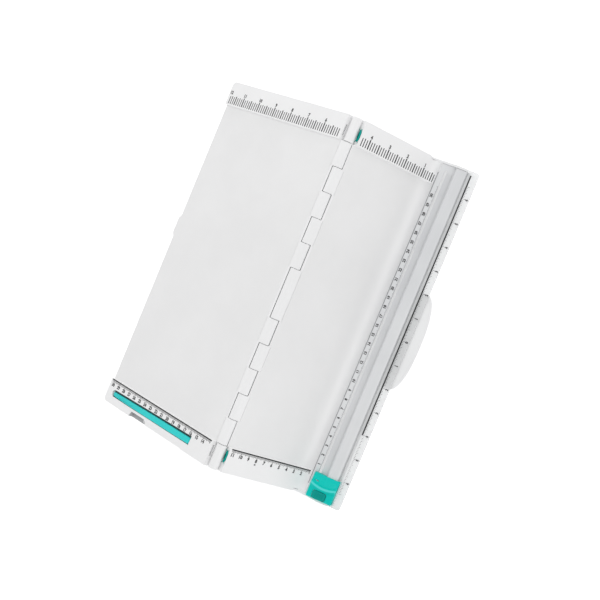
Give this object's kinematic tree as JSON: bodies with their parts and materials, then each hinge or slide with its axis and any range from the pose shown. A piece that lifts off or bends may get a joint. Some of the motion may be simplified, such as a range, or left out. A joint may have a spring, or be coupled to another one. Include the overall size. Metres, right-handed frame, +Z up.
{
  "type": "rotary paper trimmer",
  "caption": "Folding trim-and-score board standing as a tent, with a lift-up ruler arm, a sliding round-blade carriage and a lift-out bone folder.",
  "frame": {"origin": "centre of the footprint on the surface that the tent stands on", "axes": "+Y along the hinge, towards the inch rulers; +X towards the cutting arm; +Z up"},
  "size_m": [0.288, 0.362, 0.119],
  "materials": {
    "board_white": "satin moulded",
    "cover_grey": "matt moulded",
    "strip_grey": "matt",
    "rail_white": "semi-gloss extruded",
    "clear": "clear, polished",
    "clear_cyan": "tinted clear",
    "tab_grey": "satin moulded",
    "teal": "semi-gloss moulded",
    "teal_dark": "semi-gloss moulded",
    "folder_teal": "semi-gloss moulded",
    "steel": "bright",
    "rubber": "matt"
  },
  "bodies": {
    "base": {"right_board": "board_white", "right_under_cover": "cover_grey", "cutting_strip": "strip_grey", "right_cover_screw_1": "steel", "right_cover_screw_2": "steel", "right_cover_screw_3": "steel", "right_cover_screw_4": "steel", "right_foot_1": "rubber", "right_foot_2": "rubber", "right_foot_3": "rubber", "right_foot_4": "rubber", "hinge_pin": "steel", "hinge_end_cap_top": "board_white", "hinge_end_cap_bottom": "board_white", "lock_spring_top": "steel", "lock_spring_bottom": "steel", "arm_pin_top": "steel", "arm_pin_bottom": "steel"},
    "left_leaf": {"left_board": "board_white", "left_under_cover": "cover_grey", "left_cover_screw_1": "steel", "left_cover_screw_2": "steel", "left_cover_screw_3": "steel", "left_cover_screw_4": "steel", "left_foot_1": "rubber", "left_foot_2": "rubber", "left_foot_3": "rubber", "left_foot_4": "rubber"},
    "scoring_tool": {"bone_folder": "folder_teal"},
    "arm": {"arm_rail": "rail_white", "clear_ruler": "clear", "arm_end_cap_top": "tab_grey", "arm_end_cap_bottom": "tab_grey", "arm_cap_screw_top": "steel", "arm_cap_screw_bottom": "steel", "finger_tab": "tab_grey"},
    "carriage": {"carriage_body": "teal", "carriage_guard_left": "clear_cyan", "carriage_guard_right": "clear_cyan", "carriage_shoe": "cover_grey", "press_spring": "steel"},
    "blade_press": {"press_button": "teal_dark", "blade_holder": "cover_grey", "blade_axle": "steel"},
    "blade": {"rotary_blade": "steel"},
    "top_button": {"lock_button_top": "teal_dark"},
    "bottom_button": {"lock_button_bottom": "teal_dark"}
  },
  "joints": [
    {"name": "board_fold", "type": "hinge", "parent": "base", "child": "left_leaf", "pos_m": [0.00796, 0, 0.11402], "axis": [0, 1, 0], "range_deg": [-89, 84]},
    {"name": "folder_lift", "type": "slide", "parent": "left_leaf", "child": "scoring_tool", "axis": [-0.613, 0, 0.7901], "range_m": [0, 0.06]},
    {"name": "arm_lift", "type": "hinge", "parent": "base", "child": "arm", "pos_m": [0.08287, 0, 0.04315], "axis": [0, 1, 0], "range_deg": [-30, 50]},
    {"name": "carriage_slide", "type": "slide", "parent": "arm", "child": "carriage", "axis": [0, 1, 0], "range_m": [0, 0.325]},
    {"name": "blade_press_down", "type": "slide", "parent": "carriage", "child": "blade_press", "axis": [0.0664, 0, -0.9978], "range_m": [0, 0.0011], "stiffness_N_per_m": 600, "springref_m": -0.0005},
    {"name": "blade_spin", "type": "hinge", "parent": "blade_press", "child": "blade", "pos_m": [0.09991, -0.1657, 0.05065], "axis": [0.9978, 0, 0.0664], "continuous": true},
    {"name": "top_button_press", "type": "slide", "parent": "base", "child": "top_button", "axis": [0.6922, 0, -0.7217], "range_m": [0, 0.0007], "stiffness_N_per_m": 500, "springref_m": -0.0005},
    {"name": "bottom_button_press", "type": "slide", "parent": "base", "child": "bottom_button", "axis": [0.6922, 0, -0.7217], "range_m": [0, 0.0007], "stiffness_N_per_m": 500, "springref_m": -0.0005}
  ]
}
